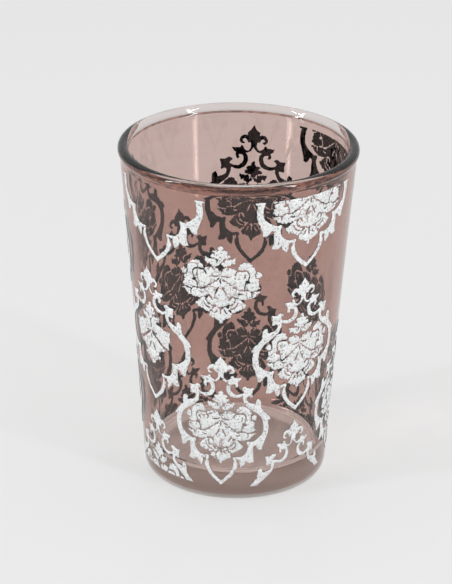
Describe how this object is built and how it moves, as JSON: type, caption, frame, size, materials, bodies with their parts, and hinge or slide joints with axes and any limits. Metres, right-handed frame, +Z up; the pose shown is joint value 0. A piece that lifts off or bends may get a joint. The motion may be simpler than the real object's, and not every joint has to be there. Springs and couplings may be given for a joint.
{
  "type": "tea glass",
  "caption": "Tapered tea glass with a thick base and a rounded rim, coated in rose lustre under a fired silver damask print.",
  "frame": {"origin": "middle of the face that the glass stands on", "axes": "+Z up along the axis of the glass, -Y towards its front"},
  "size_m": [0.06, 0.06, 0.0884],
  "materials": {
    "clear_glass": "clear, faintly green, fire-polished",
    "rose_lustre": "transparent rose lustre, glossy",
    "fired_silver": "fired silver, satin, finely scratched, dark on the side that meets the glass"
  },
  "bodies": {
    "root": {"glass_body": "clear_glass", "lustre_coat": "rose_lustre", "base_row_frames": "fired_silver", "base_row_bouquets": "fired_silver", "lower_row_frames": "fired_silver", "lower_row_bouquets": "fired_silver", "middle_row_frames": "fired_silver", "middle_row_bouquets": "fired_silver", "upper_row_frames": "fired_silver", "upper_row_bouquets": "fired_silver", "top_row_frames": "fired_silver", "top_row_bouquets": "fired_silver"}
  },
  "joints": []
}
